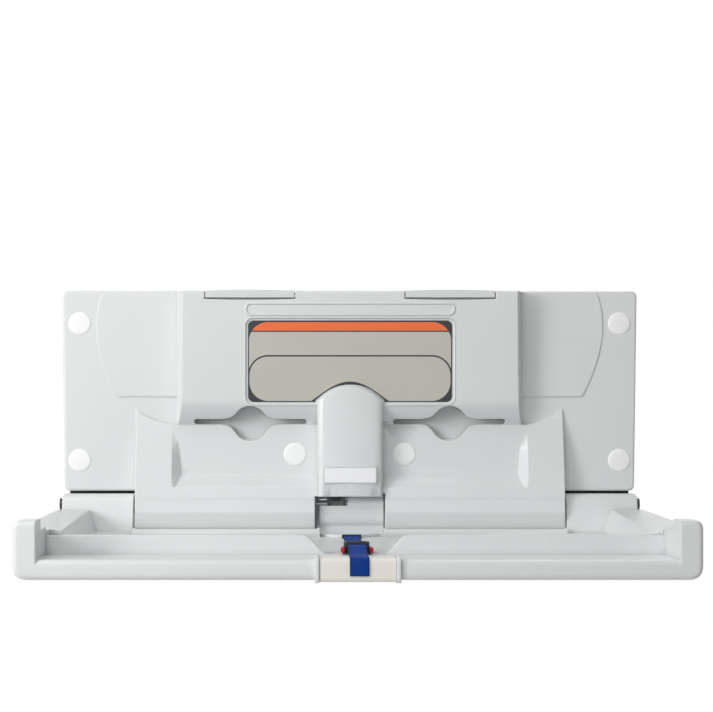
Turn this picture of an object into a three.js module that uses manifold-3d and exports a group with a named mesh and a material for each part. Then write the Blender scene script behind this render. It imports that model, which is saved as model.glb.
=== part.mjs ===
// A wall-hung, fold-down baby changing station in moulded plastic, shown open.
// Millimetres, +Z up, +Y into the wall.
// The origin lies on the wall, on the centre line, level with the hinge.
import * as THREE from "three";
import { mergeVertices } from "three/addons/utils/BufferGeometryUtils.js";
import Module from "manifold-3d";

const wasm = await Module();
wasm.setup();

// Driving dimensions, the whole station
const stationWidth = 897;
const panelWidth = 892;
const wallThickness = 4.5;
const fitGap = 0.3;
const runningGap = 2;
const armGap = 3;

// Back panel
const panelTop = 328.5;
const flangeTop = 330.3;
const flangeDepth = 30;
const flangeBottom = 20.3;
const flangeTaper = 4;
const flangeCorner = 10;
const edgeRound = 4;
const chestWidth = 514;
const chestDepth = 67;
const chestDraft = 11;
const chestLean = 6;
const chestFaceBottom = 160;
const recessTop = 123;
const recessDepth = 37;
const recessBottom = 46;
const recessDraft = 17.5;
const ridgeHeight = 26.5;
const finWidth = 73.5;
// Down each fin: height, depth from the wall, and how far its foot runs out over the recess
const finSection = [[146.7, 31.5, 0], [132, 34, 0], [119.6, 37, 0], [99, 42, 9], [84, 45.5, 11], [53, 52, 14],
  [46, 53.4, 14], [26.5, 57, 6]];
const plaqueRise = 1.8;
const plaqueEdgeInset = 52;
const plaqueBottom = 167;
const titleLength = 322;
const titleHeight = 19.5;
const titleBelowTop = 28;
const titleRim = 2.5;
const titleRise = 1.2;

// Hinge
const hingeOut = 32;
const rodRadius = 8;
const boreGap = 0.4;
const housingDepth = 60;
const housingGroove = 1.6;
const housingBelly = 61.5;
const bellyHeight = -12;
const housingSkirt = 56.5;
const housingBottom = 39;
const ridgeFace = 9;
const sidePlateThickness = 3;
const knuckleRadius = 16.5;
const openingWidth = 108;
const backRail = 5;
const endCapLength = 5;
const endCapRadius = 9.2;
const armCorner = 7;
const knuckleGapLeft = 7;

// Gas spring cover, and the gas spring behind it
const coverWidth = 100;
const coverDepth = 73;
const coverCrown = 4.5;
const coverEdge = 3.5;
const coverTop = 182;
const coverShoulder = 158;
const coverBottom = 13;
const coverRearBottom = 18;
const springOffset = -20;
const leverRadius = 16;
const leverAngle = 125;
const leverThickness = 5;
const pinRadius = 4;
const cylinderRadius = 9;
const springRodRadius = 4;
const springTop = 138;
const springStroke = 24;
const eyeWidth = 14;
const rodEndHeight = 22;
const bracketHeight = 26;
const pinPlay = 0.8;
const pinSweep = 5.2;
const pinRise = 1.6;

// Liner dispensers
const slotMargin = 17;
const slotHeight = 8;
const slotAboveRecess = 5;
const mouthRadius = 27;
const mouthFlare = 18;
const mouthDrop = 3;
const lidWidth = 137;
const lidLip = 10.5;
const lidThickness = 4;
const lidCrown = 1.5;
const lidGap = 2;
const lidSideGap = 1.5;
const lidSag = 1.6;
const lidPinRadius = 2;
const binWall = 2.5;
const binBack = 22;

// Labels and caps
const labelWidth = 313;
const labelTop = 283;
const labelBottom = 158;
const labelCorner = 9;
const labelThickness = 0.8;
const labelRecess = 1.4;
const labelMargin = 3;
const badgeWidth = 79;
const badgeHeight = 22.5;
const badgeMiddle = 46;
const badgeThickness = 1.2;
const badgeMargin = 2;
const capRadius = 17.5;
const capRise = 1.2;
const capPlug = 8;
const capEdgeInset = 27.6;
const upperCapHeight = 280;
const lowerCapHeight = 68;
const innerCapOffset = 84.5;
const innerCapHeight = 77.5;
const screwHoleRadius = 4.5;

// Bed
const bedReach = 476;
const bedBottom = -76.5;
const bedCorner = 19;
const postTop = 1;
const postWidth = 31;
const postDepth = 46;
const sideRimRear = -7;
const sideRimFront = -12;
const sideRimInner = -20;
const sideRimWidth = 52.5;
const sideRimTaper = 2.5;
const sideWallSlope = 7.5;
const shelfHeight = -50;
const shelfDepth = 97;
const frontRimHeight = 26;
const frontRimThickness = 18;
const frontRimInset = 34;
const bedEdgeRound = 8;
const postRound = 12;
const dipWidthTop = 152;
const dipWidthBottom = 70;
const floorEdge = -41;
const floorMiddle = -48;
const floorRear = 33;
const rearGap = 34;
const rearLip = -36.5;
const rearLipDepth = 10;
const webFront = 11;
const webShoulder = 16.6;
const notchFloor = -2;
const notchRight = -3;
const wedgeTop = -44;
const drainRadius = 4;

// Front grip, strap and buckle
const gripWidth = 112;
const gripThickness = 2;
const gripRib = 6;
const gripRibRise = 1.2;
const gripTopLeg = 44;
const strapMiddle = 1.5;
const strapWidth = 25.4;
const strapThickness = 1.8;
const strapSlotForward = 72;
const slotTrimDepth = 16;
const slotTrimRim = 2;
const slotHoodTop = -42.8;
const buckleWidth = 38;
const buckleLength = 46;
const buckleThickness = 13;
const buckleBar = 16;
const buckleDeck = 7.5;
const tongueLength = 18;
const releaseTravel = 2;
const tailDrop = 24;
const tailOffset = 0.3;
const tabProud = 2.5;
const tongueGrip = 14;
const tongueHalf = 10;

// Places worked out from the driving dimensions
const halfWidth = stationWidth / 2;
const halfPanel = panelWidth / 2;
const halfChest = chestWidth / 2;
const finEdge = halfChest + finWidth;
const finInner = halfChest + recessDraft;
const finTop = finSection[0][0];
const axisY = -hingeOut;
const halfOpening = openingWidth / 2;
const centreLeft = -halfOpening + knuckleGapLeft;
const centreRight = halfOpening - runningGap;
const bedFront = axisY - bedReach;
const shelfRear = bedFront + shelfDepth;
const floorFront = shelfRear + frontRimThickness;
const floorBack = axisY - floorRear;
const frontRimHalf = halfWidth - frontRimInset;
const trayHalfRear = halfWidth - sideRimWidth;
const trayHalfFront = trayHalfRear + sideRimTaper;
const dispenserX = (halfChest + coverWidth / 2) / 2;
const slotLength = halfChest - coverWidth / 2 - slotMargin * 2;
const buckleRear = shelfRear - 6 + buckleLength;

// Materials, one for each finish
function finish(color, roughness, metalness = 0) {
  return new THREE.MeshStandardMaterial({ color, roughness, metalness });
}
const greyPlastic = finish(0xd3d6d6, 0.55);
const whitePlastic = finish(0xf4f5f4, 0.45);
const creamPlastic = finish(0xe6e4dc, 0.5);
const labelFilm = finish(0xc9c3b4, 0.4);
const badgeFilm = finish(0xf7f7f8, 0.35);
const steel = finish(0x8d949a, 0.35, 1);
const blackPlastic = finish(0x141516, 0.5);
const blackPaint = finish(0x1c1d1f, 0.4, 0.3);
const redPlastic = finish(0xc8202a, 0.45);
const blueWebbing = finish(0x1c3f94, 0.8);
const nylon = finish(0x2a2c2e, 0.5);

// Solids for cutting and joining
function solidOf(geometry) {
  const bare = geometry.index ? geometry.toNonIndexed() : geometry.clone();
  bare.deleteAttribute("normal");
  bare.deleteAttribute("uv");
  const merged = mergeVertices(bare, 1e-4);
  return new wasm.Manifold(new wasm.Mesh({
    numProp: 3,
    vertProperties: merged.attributes.position.array,
    triVerts: new Uint32Array(merged.index.array),
  }));
}

function geometryOf(solid) {
  const mesh = solid.getMesh();
  const geometry = new THREE.BufferGeometry();
  geometry.setAttribute("position", new THREE.BufferAttribute(new Float32Array(mesh.vertProperties), 3));
  geometry.setIndex(new THREE.BufferAttribute(new Uint32Array(mesh.triVerts), 1));
  geometry.computeVertexNormals();
  return geometry;
}

function outline(points) {
  return new THREE.Shape(points.map(([a, b]) => new THREE.Vector2(a, b)));
}

function roundedBox(left, bottom, right, top, radius) {
  const shape = new THREE.Shape();
  shape.moveTo(left + radius, bottom);
  shape.lineTo(right - radius, bottom);
  shape.absarc(right - radius, bottom + radius, radius, -Math.PI / 2, 0);
  shape.lineTo(right, top - radius);
  shape.absarc(right - radius, top - radius, radius, 0, Math.PI / 2);
  shape.lineTo(left + radius, top);
  shape.absarc(left + radius, top - radius, radius, Math.PI / 2, Math.PI);
  shape.lineTo(left, bottom + radius);
  shape.absarc(left + radius, bottom + radius, radius, Math.PI, Math.PI * 1.5);
  return shape;
}

const axisX = new THREE.Vector3(1, 0, 0);
const axisUp = new THREE.Vector3(0, 0, 1);
const towardsWall = new THREE.Vector3(0, 1, 0);
const towardsUser = new THREE.Vector3(0, -1, 0);

// An outline drawn in (Y, Z), swept along X
function alongX(shape, x0, x1, curveSegments = 6) {
  const geometry = new THREE.ExtrudeGeometry(shape, { depth: x1 - x0, bevelEnabled: false, curveSegments });
  geometry.applyMatrix4(new THREE.Matrix4().makeBasis(towardsWall, axisUp, axisX));
  return solidOf(geometry.translate(x0, 0, 0));
}

// An outline drawn in (X, Z), swept from the wall side towards the user, with a rounded front edge if asked
function alongY(shape, yRear, yFront, round = 0, curveSegments = 6) {
  const geometry = new THREE.ExtrudeGeometry(shape, {
    depth: yRear - yFront,
    bevelEnabled: round > 0,
    bevelThickness: round,
    bevelSize: round,
    bevelOffset: -round,
    bevelSegments: 3,
    curveSegments,
  });
  geometry.applyMatrix4(new THREE.Matrix4().makeBasis(axisX, axisUp, towardsUser));
  const solid = solidOf(geometry.translate(0, yRear + round, 0));
  return round > 0 ? solid.trimByPlane([0, -1, 0], -yRear) : solid;
}

// An outline drawn in (X, Y), swept upwards
function alongZ(shape, z0, z1, curveSegments = 6) {
  const geometry = new THREE.ExtrudeGeometry(shape, { depth: z1 - z0, bevelEnabled: false, curveSegments });
  return solidOf(geometry.translate(0, 0, z0));
}

function block(x0, y0, z0, x1, y1, z1) {
  const geometry = new THREE.BoxGeometry(x1 - x0, y1 - y0, z1 - z0);
  return solidOf(geometry.translate((x0 + x1) / 2, (y0 + y1) / 2, (z0 + z1) / 2));
}

function rodX(radius, x0, x1, y, z, sides = 24) {
  const geometry = new THREE.CylinderGeometry(radius, radius, x1 - x0, sides).rotateZ(-Math.PI / 2);
  return solidOf(geometry.translate((x0 + x1) / 2, y, z));
}

function rodY(radius, y0, y1, x, z, sides = 24, frontRadius = radius) {
  const geometry = new THREE.CylinderGeometry(radius, frontRadius, y1 - y0, sides);
  return solidOf(geometry.translate(x, (y0 + y1) / 2, z));
}

function rodZ(radius, z0, z1, x, y, sides = 20) {
  const geometry = new THREE.CylinderGeometry(radius, radius, z1 - z0, sides).rotateX(Math.PI / 2);
  return solidOf(geometry.translate(x, y, (z0 + z1) / 2));
}

const joined = (first, ...others) => others.reduce((whole, other) => whole.add(other), first);
const cut = (first, ...others) => others.reduce((whole, other) => whole.subtract(other), first);

const station = new THREE.Group();
function place(name, solid, material) {
  const mesh = new THREE.Mesh(geometryOf(solid), material);
  mesh.name = name;
  station.add(mesh);
}

const sides = [["left", -1], ["right", 1]];
const span = (side, near, far) => (side < 0 ? [-far, -near] : [near, far]);

// Back panel, open at the back: a flange, a chest for the dispensers, two coved fins, the hinge housings
const faceLean = chestLean / (panelTop - chestFaceBottom);
const chestFaceAt = (z) => -chestDepth + faceLean * (panelTop - z);
const openBack = 1;

function housingEnd(shape) {
  shape.lineTo(-housingDepth, ridgeFace + 0.8);
  shape.lineTo(-housingDepth + housingGroove, ridgeFace - 0.6);
  shape.lineTo(-housingBelly, bellyHeight + 2);
  shape.quadraticCurveTo(-housingBelly, bellyHeight - 2, -housingBelly + 1.2, bellyHeight - 5);
  shape.lineTo(-housingSkirt, -housingBottom + 5);
  shape.quadraticCurveTo(-housingSkirt + 1, -housingBottom, -housingSkirt + 7, -housingBottom);
  shape.lineTo(0, -housingBottom);
}

function centreProfile() {
  const shape = new THREE.Shape();
  shape.moveTo(0, panelTop);
  shape.lineTo(-chestDepth + edgeRound, panelTop);
  shape.quadraticCurveTo(-chestDepth, panelTop, chestFaceAt(panelTop - edgeRound), panelTop - edgeRound);
  shape.lineTo(chestFaceAt(chestFaceBottom), chestFaceBottom);
  shape.quadraticCurveTo(chestFaceAt(recessTop), (chestFaceBottom + recessTop) / 2, -recessDepth, recessTop);
  shape.lineTo(-recessDepth, recessBottom);
  shape.lineTo(-housingDepth + edgeRound - 1, ridgeHeight);
  housingEnd(shape);
  return shape;
}

function finProfile() {
  const shape = new THREE.Shape();
  shape.moveTo(0, finTop);
  for (const [z, depth] of finSection) shape.lineTo(-depth, z);
  housingEnd(shape);
  return shape;
}

// A fin, with its top edge swept down towards the chest
function fin(sign) {
  const low = -housingBottom - 1;
  const shape = new THREE.Shape();
  shape.moveTo(sign * finInner, low);
  shape.lineTo(sign * finEdge, low);
  shape.lineTo(sign * finEdge, finTop);
  shape.quadraticCurveTo(sign * (finEdge - 24), recessTop + 5, sign * finInner, recessTop);
  return alongX(finProfile(), ...span(sign, finInner, finEdge))
    .intersect(alongY(shape, openBack, -housingBelly - 1));
}

// The slanted foot of a fin, where it runs out over the recess
function finFoot(sign) {
  const inside = sign * (finInner + 1);
  const slices = finSection.filter(([z]) => z < recessTop).map(([z, depth, run]) => {
    const below = Math.max(0, recessBottom - z) / (recessBottom - ridgeHeight);
    const floor = -recessDepth - below * (housingDepth - edgeRound + 1 - recessDepth);
    return [[inside, -depth, z], [sign * finInner, -depth, z], [sign * (finInner - run), floor + 0.2, z],
      [inside, floor + 0.2, z]];
  });
  return slices.slice(1).map((slice, i) => wasm.Manifold.hull([...slices[i], ...slice]));
}

function flangeOutline(inset) {
  const top = flangeTop - inset;
  const bottom = flangeBottom + inset;
  const half = halfPanel - inset;
  const low = half - flangeTaper;
  const shape = new THREE.Shape();
  shape.moveTo(-low + flangeCorner, bottom);
  shape.lineTo(low - flangeCorner, bottom);
  shape.quadraticCurveTo(low, bottom, low, bottom + flangeCorner);
  shape.lineTo(half, top - flangeCorner);
  shape.quadraticCurveTo(half, top, half - flangeCorner, top);
  shape.lineTo(-half + flangeCorner, top);
  shape.quadraticCurveTo(-half, top, -half, top - flangeCorner);
  shape.lineTo(-low, bottom + flangeCorner);
  shape.quadraticCurveTo(-low, bottom, -low + flangeCorner, bottom);
  return shape;
}

function coverOutline(inset, bottom) {
  const half = coverWidth / 2 - inset;
  const shape = new THREE.Shape();
  shape.moveTo(-half, bottom);
  shape.lineTo(half, bottom);
  shape.lineTo(half, coverShoulder - inset);
  shape.bezierCurveTo(half * 0.6, coverTop - inset - 4, half * 0.3, coverTop - inset, 0, coverTop - inset);
  shape.bezierCurveTo(-half * 0.3, coverTop - inset, -half * 0.6, coverTop - inset - 4,
    -half, coverShoulder - inset);
  return shape;
}

// The cover's crowned front, as a block from the wall
function coverCrowned(inset) {
  const half = coverWidth / 2 - inset;
  const steps = 24;
  const front = Array.from({ length: steps + 1 }, (_, i) => {
    const across = (2 * i) / steps - 1;
    return [across * half, -coverDepth + inset + coverCrown * across ** 2 + coverEdge * across ** 12];
  });
  return alongZ(outline([[half, openBack], [-half, openBack], ...front]), -housingBottom - 60, coverTop + 1);
}

// The hollow behind the front skin
function panelHollow() {
  const halfInside = halfChest - wallThickness;
  const flange = alongY(flangeOutline(wallThickness), openBack, -flangeDepth + wallThickness);
  const chest = new THREE.Shape();
  chest.moveTo(openBack, panelTop - wallThickness);
  chest.lineTo(chestFaceAt(panelTop) + wallThickness, panelTop - wallThickness);
  chest.lineTo(chestFaceAt(chestFaceBottom) + wallThickness, chestFaceBottom);
  chest.quadraticCurveTo(chestFaceAt(recessTop) + wallThickness, (chestFaceBottom + recessTop) / 2,
    -recessDepth + wallThickness, recessTop);
  chest.lineTo(-recessDepth + wallThickness, recessBottom);
  chest.lineTo(openBack, recessBottom);
  return joined(flange, alongX(chest, -halfInside, halfInside));
}

// The chest widens towards the flange
function chestSides() {
  const foot = halfChest + chestDraft;
  const plan = outline([[-foot, 0], [-foot, -flangeDepth], [-halfChest, -chestDepth],
    [halfChest, -chestDepth], [foot, -flangeDepth], [foot, 0]]);
  return alongX(centreProfile(), -foot, foot).trimByPlane([0, 0, 1], recessTop)
    .intersect(alongZ(plan, recessTop - 1, panelTop + 1));
}

const caps = sides.flatMap(([side, sign]) => [
  [`cap_${side}_upper`, sign * (halfPanel - capEdgeInset), upperCapHeight, flangeDepth],
  [`cap_${side}_lower`, sign * (halfPanel - capEdgeInset), lowerCapHeight, flangeDepth],
  [`cap_${side}_inner`, sign * innerCapOffset, innerCapHeight, recessDepth],
]);
const plugRadius = capRadius - 2;
const bossRadius = capRadius + 2;

// Slot and round mouth that a liner is pulled through
const slotMiddle = recessTop + slotAboveRecess;
function mouthCut(x, spread, yRear, yFront) {
  const half = slotHeight / 2 + spread;
  const reach = slotLength / 2 + spread;
  const slot = roundedBox(x - reach, slotMiddle - half, x + reach, slotMiddle + half, half * 0.99);
  const tip = mouthRadius + mouthFlare;
  const bend = mouthRadius + 3;
  const foot = mouthRadius * 0.85;
  const high = slotMiddle - mouthDrop + mouthRadius * 0.55;
  const low = slotMiddle - mouthDrop - mouthRadius * 0.55;
  const flare = new THREE.Shape();
  flare.moveTo(x - foot, low);
  flare.lineTo(x + foot, low);
  flare.quadraticCurveTo(x + bend, slotMiddle - half, x + tip, slotMiddle - half);
  flare.lineTo(x + tip, slotMiddle + half);
  flare.quadraticCurveTo(x + bend, slotMiddle + half, x + foot, high);
  flare.lineTo(x - foot, high);
  flare.quadraticCurveTo(x - bend, slotMiddle + half, x - tip, slotMiddle + half);
  flare.lineTo(x - tip, slotMiddle - half);
  flare.quadraticCurveTo(x - bend, slotMiddle - half, x - foot, low);
  return joined(rodY(mouthRadius + spread, yFront, yRear, x, slotMiddle - mouthDrop, 36),
    alongY(slot, yRear, yFront), alongY(flare, yRear, yFront));
}

// Lids over the dispensers, each on its own pin
const lidPinY = -13;
const lidPinZ = panelTop - 1.5;
const lidBarrel = 3.5;
const earLength = 7;
const lidHalf = lidWidth / 2;

function lidOpening(x) {
  const half = lidHalf + lidSideGap;
  const rear = lidPinY + lidBarrel + runningGap;
  const low = panelTop - lidLip - lidGap;
  const shape = new THREE.Shape();
  shape.moveTo(x - half, low);
  shape.quadraticCurveTo(x, low - lidSag * 2, x + half, low);
  shape.lineTo(x + half, panelTop + openBack);
  shape.lineTo(x - half, panelTop + openBack);
  const well = alongY(shape, -chestDepth + lidThickness + runningGap, -chestDepth - openBack);
  return well.add(block(x - half, -chestDepth, panelTop - wallThickness - openBack,
    x + half, rear, panelTop + openBack));
}

function lidEars(x) {
  const near = lidHalf + lidSideGap;
  return [-1, 1].map((end) => {
    const [x0, x1] = span(end, near, near + earLength);
    return block(x + x0, lidPinY - lidBarrel, lidPinZ - lidBarrel - 2,
      x + x1, lidPinY + lidBarrel, panelTop - 0.5);
  });
}

function plaqueOutline(sign) {
  const inner = sign * (halfChest - 1);
  const edge = sign * (halfPanel - plaqueEdgeInset);
  const high = panelTop - edgeRound;
  const shape = new THREE.Shape();
  shape.moveTo(inner, high);
  shape.lineTo(edge - sign * 11, high);
  shape.quadraticCurveTo(edge + sign * 14, (high + plaqueBottom) / 2 + 14, edge - sign * 34, plaqueBottom);
  shape.lineTo(inner, plaqueBottom);
  return shape;
}

function labelOutline(spread) {
  const half = labelWidth / 2 + spread;
  return roundedBox(-half, labelBottom - spread, half, labelTop + spread, labelCorner + spread);
}

// A thin layer that follows the chest's leaning face, from one depth below it to another
function faceLayer(low, high, below, above) {
  const half = halfChest;
  return alongX(outline([[chestFaceAt(low) + below, low], [chestFaceAt(high) + below, high],
    [chestFaceAt(high) - above, high], [chestFaceAt(low) - above, low]]), -half, half);
}

function titleFrame() {
  const half = titleLength / 2;
  const high = panelTop - titleBelowTop + titleHeight / 2;
  const low = high - titleHeight;
  const radius = titleHeight / 2 - 0.5;
  const outer = roundedBox(-half, low, half, high, radius);
  const inner = roundedBox(-half + titleRim, low + titleRim, half - titleRim, high - titleRim,
    radius - titleRim);
  const ring = alongY(outer, -recessDepth, -chestDepth - 10).subtract(alongY(inner, 0, -chestDepth - 12));
  return ring.intersect(faceLayer(low - 1, high + 1, 1, titleRise));
}

const badgeTopEdge = badgeMiddle + badgeHeight / 2;
const badgeLowEdge = badgeMiddle - badgeHeight / 2;

function backPanel() {
  const foot = halfChest + chestDraft;
  const flange = alongY(flangeOutline(0), 0, -flangeDepth, edgeRound)
    .subtract(block(-foot, -flangeDepth - 1, panelTop, foot, 1, flangeTop + 1));
  const fins = sides.flatMap(([, sign]) => [fin(sign), ...finFoot(sign)]);
  const centre = alongX(centreProfile(), -finInner, finInner).trimByPlane([0, 0, -1], -recessTop);
  const rails = sides.map(([, sign]) => {
    const [x0, x1] = span(sign, finEdge - 1, halfPanel - 10);
    return block(x0, -backRail, -housingBottom, x1, 0, flangeBottom + 1);
  });
  const plaques = sides.map(([, sign]) =>
    alongY(plaqueOutline(sign), -wallThickness, -flangeDepth - plaqueRise));
  const cover = alongY(coverOutline(0, coverBottom), -wallThickness, -coverDepth, edgeRound)
    .intersect(coverCrowned(0));
  const padHalf = badgeWidth / 2 + badgeMargin;
  const padFace = roundedBox(-padHalf, badgeLowEdge - badgeMargin, padHalf, badgeTopEdge + badgeMargin, 2.5);
  const badgePad = alongY(padFace, -coverDepth + coverCrown + 2, -coverDepth);
  let body = joined(flange, centre, chestSides(), ...fins, ...plaques).subtract(panelHollow());
  body = joined(body, ...rails);
  body = joined(body, cover, badgePad, titleFrame());
  body = body.subtract(alongY(coverOutline(wallThickness, coverBottom - 60), openBack, -coverDepth)
    .intersect(coverCrowned(wallThickness)));
  const rearRail = block(-halfOpening - 1, -backRail, -housingBottom, halfOpening + 1, 0, coverRearBottom);
  body = joined(body, rearRail);
  for (const [, x, z, depth] of caps) body = body.add(rodY(bossRadius, -depth + 1, 0, x, z));
  for (const [, sign] of sides) body = joined(body, ...lidEars(sign * dispenserX));

  const opening = block(-halfOpening, -coverDepth - 1, -housingBottom - 1,
    halfOpening, -backRail, coverBottom);
  const barrelRoom = block(centreLeft - 1, -coverDepth + wallThickness + coverCrown + 1, 0,
    halfOpening, -backRail, coverRearBottom);
  body = cut(body, opening, barrelRoom, rodX(rodRadius + boreGap, -finEdge - 1, finEdge + 1, axisY, 0));
  for (const [, x, z, depth] of caps) {
    body = cut(body, rodY(plugRadius + fitGap, -depth - 5, -depth + capPlug + fitGap, x, z));
    body = cut(body, rodY(screwHoleRadius, -depth, openBack, x, z, 16));
  }
  for (const [, sign] of sides) {
    const x = sign * dispenserX;
    const reach = lidHalf + earLength + 1;
    body = cut(body, mouthCut(x, 0, -flangeDepth + 12, -chestDepth - 5), lidOpening(x));
    body = cut(body, rodX(lidPinRadius + fitGap, x - reach, x + reach, lidPinY, lidPinZ, 12));
  }
  const labelPocket = alongY(labelOutline(labelMargin), 0, -chestDepth - 10)
    .subtract(alongY(coverOutline(-2, 0), 1, -chestDepth - 12));
  const pocketLayer = faceLayer(labelBottom - labelMargin - 1, labelTop + labelMargin + 1, labelRecess, 5);
  return body.subtract(labelPocket.intersect(pocketLayer));
}
place("back_panel", backPanel(), greyPlastic);

// Mounting hole caps
for (const [name, x, z, depth] of caps) {
  const disc = rodY(capRadius, -depth - fitGap - capRise, -depth - fitGap, x, z, 36, capRadius - capRise);
  place(name, disc.add(rodY(plugRadius, -depth - 1, -depth + capPlug, x, z)), whitePlastic);
}

// Label plate, cut away round the cover, and the blank badge on the cover
const labelSheet = alongY(labelOutline(0), 0, -chestDepth - 10)
  .subtract(alongY(coverOutline(-3, 0), 1, -chestDepth - 12));
place("label_plate", labelSheet.intersect(
  faceLayer(labelBottom - 1, labelTop + 1, labelRecess - 0.1, labelThickness - labelRecess)), labelFilm);
place("badge_plate", alongY(roundedBox(-badgeWidth / 2, badgeLowEdge, badgeWidth / 2, badgeTopEdge, 1.5),
  -coverDepth - fitGap / 3, -coverDepth - badgeThickness), badgeFilm);

// Liner bins and lids
function linerBin(x) {
  const half = slotLength / 2 + binWall + 1;
  const front = -recessDepth + wallThickness + fitGap;
  const highFront = chestFaceAt(chestFaceBottom) + wallThickness + fitGap;
  const floor = innerCapHeight + bossRadius + fitGap + 1;
  const high = lidPinZ - lidBarrel - runningGap - 1;
  const profile = (t, top) => outline([[-binBack - t, floor + t], [front + t, floor + t],
    [front + t, recessTop + t], [highFront + t, chestFaceBottom + 6], [highFront + t, top],
    [-binBack - t, top]]);
  const shell = alongX(profile(0, high), x - half, x + half)
    .subtract(alongX(profile(binWall, high + 1), x - half + binWall, x + half - binWall));
  return cut(shell, mouthCut(x, 1.5, -binBack - binWall - 3, -chestDepth));
}

function linerLid(x) {
  const left = x - lidHalf;
  const right = x + lidHalf;
  const crowned = (low, inset) => {
    const shape = new THREE.Shape();
    shape.moveTo(left + inset, low);
    shape.lineTo(right - inset, low);
    shape.lineTo(right - inset, panelTop);
    shape.quadraticCurveTo(x, panelTop + lidCrown * 2, left + inset, panelTop);
    return shape;
  };
  const plate = alongY(crowned(panelTop - lidThickness + 0.5, 0), lidPinY, -chestDepth + 1);
  const lip = alongY(crowned(panelTop - lidLip, 0), -chestDepth + lidThickness, -chestDepth, 1);
  const barrel = rodX(lidBarrel, left, right, lidPinY, lidPinZ, 16);
  const bore = rodX(lidPinRadius + fitGap, left - 1, right + 1, lidPinY, lidPinZ, 12);
  return joined(plate, lip, barrel).subtract(bore);
}

for (const [side, sign] of sides) {
  const x = sign * dispenserX;
  const reach = lidHalf + earLength;
  place(`liner_bin_${side}`, linerBin(x), greyPlastic);
  place(`liner_lid_${side}`, linerLid(x), greyPlastic);
  place(`lid_pin_${side}`, rodX(lidPinRadius, x - reach, x + reach, lidPinY, lidPinZ, 12), steel);
}

// Hinge: a rod on each side, washers at the running gaps, and an end cap on each rod
const knuckleOuter = halfWidth - endCapLength;
const knuckleInner = finEdge + armGap;
const rodEnd = halfWidth - 3;
const washerGap = 0.3;
const washerRadius = knuckleRadius - 2;
const pocketLeft = springOffset - eyeWidth / 2 - leverThickness - runningGap;
const pocketRight = springOffset + eyeWidth / 2 + leverThickness + runningGap;

const rodSpans = { left: [-rodEnd, pocketLeft - 1], right: [pocketRight + 1, rodEnd] };
for (const [side, sign] of sides) {
  place(`hinge_rod_${side}`, rodX(rodRadius, ...rodSpans[side], axisY, 0), steel);
  const washer = (x0, x1) => rodX(washerRadius, x0, x1, axisY, 0)
    .subtract(rodX(rodRadius + boreGap, x0 - 1, x1 + 1, axisY, 0));
  place(`outer_washer_${side}`, washer(...span(sign, finEdge + washerGap, knuckleInner - washerGap)), nylon);
  const cap = rodX(endCapRadius, ...span(sign, knuckleOuter + washerGap, halfWidth), axisY, 0);
  const socket = rodX(rodRadius + boreGap / 2, ...span(sign, knuckleOuter, rodEnd + washerGap), axisY, 0);
  place(`hinge_end_cap_${side}`, cap.subtract(socket), blackPlastic);
}
place("inner_washer_right", rodX(washerRadius, centreRight + washerGap, halfOpening - washerGap, axisY, 0)
  .subtract(rodX(rodRadius + boreGap, centreRight, halfOpening, axisY, 0)), nylon);
place("hinge_side_plate", block(-halfOpening + washerGap, -housingDepth + 4, -housingBottom + 2,
  -halfOpening + washerGap + sidePlateThickness, -backRail - washerGap, coverBottom - 2)
  .subtract(rodX(rodRadius + boreGap, -halfOpening, centreLeft, axisY, 0)), steel);

// Gas spring: a bracket across the cover, a cylinder hung on it, and a rod whose end runs on the lever pin
const radians = (degrees) => (degrees * Math.PI) / 180;
const leverY = axisY - leverRadius * Math.cos(radians(leverAngle));
const leverZ = leverRadius * Math.sin(radians(leverAngle));
const halfEye = eyeWidth / 2;
const eyeLeft = springOffset - halfEye;
const eyeRight = springOffset + halfEye;
const cylinderBottom = leverZ + rodEndHeight + springStroke + 6;
const earHalf = pinRadius + 5;

function springBracket() {
  const half = coverWidth / 2 - wallThickness - fitGap;
  const rear = -backRail - 3;
  const low = springTop - bracketHeight / 2;
  const plate = block(-half, rear, low, half, rear + 3, low + bracketHeight);
  const ears = [eyeLeft - fitGap - leverThickness, eyeRight + fitGap].map((x) =>
    joined(block(x, leverY, springTop - earHalf, x + leverThickness, rear + 1, springTop + earHalf),
      rodX(earHalf, x, x + leverThickness, leverY, springTop)));
  return joined(plate, ...ears).subtract(rodX(pinRadius + fitGap / 2, -half, half, leverY, springTop));
}
place("spring_bracket", springBracket(), steel);

const pinLeft = eyeLeft - fitGap - leverThickness - 1;
const pinRight = eyeRight + fitGap + leverThickness + 1;
place("spring_pin", rodX(pinRadius, pinLeft, pinRight, leverY, springTop), steel);

const eyeTop = rodX(pinRadius + 4, eyeLeft, eyeRight, leverY, springTop);
const cylinderTop = springTop - pinRadius - 2;
place("gas_cylinder", joined(rodZ(cylinderRadius, cylinderBottom, cylinderTop - 8, springOffset, leverY),
  rodZ(halfEye - 0.2, cylinderTop - 9, cylinderTop, springOffset, leverY), eyeTop)
  .subtract(rodX(pinRadius + fitGap / 2, eyeLeft - 1, eyeRight + 1, leverY, springTop))
  .subtract(rodZ(springRodRadius + fitGap, cylinderBottom - 1, cylinderTop - 18, springOffset, leverY)),
blackPaint);
const rodTop = cylinderTop - 20;
const rodEndTop = leverZ + rodEndHeight;
place("gas_rod", rodZ(springRodRadius, rodEndTop - 6, rodTop, springOffset, leverY), steel);

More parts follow.
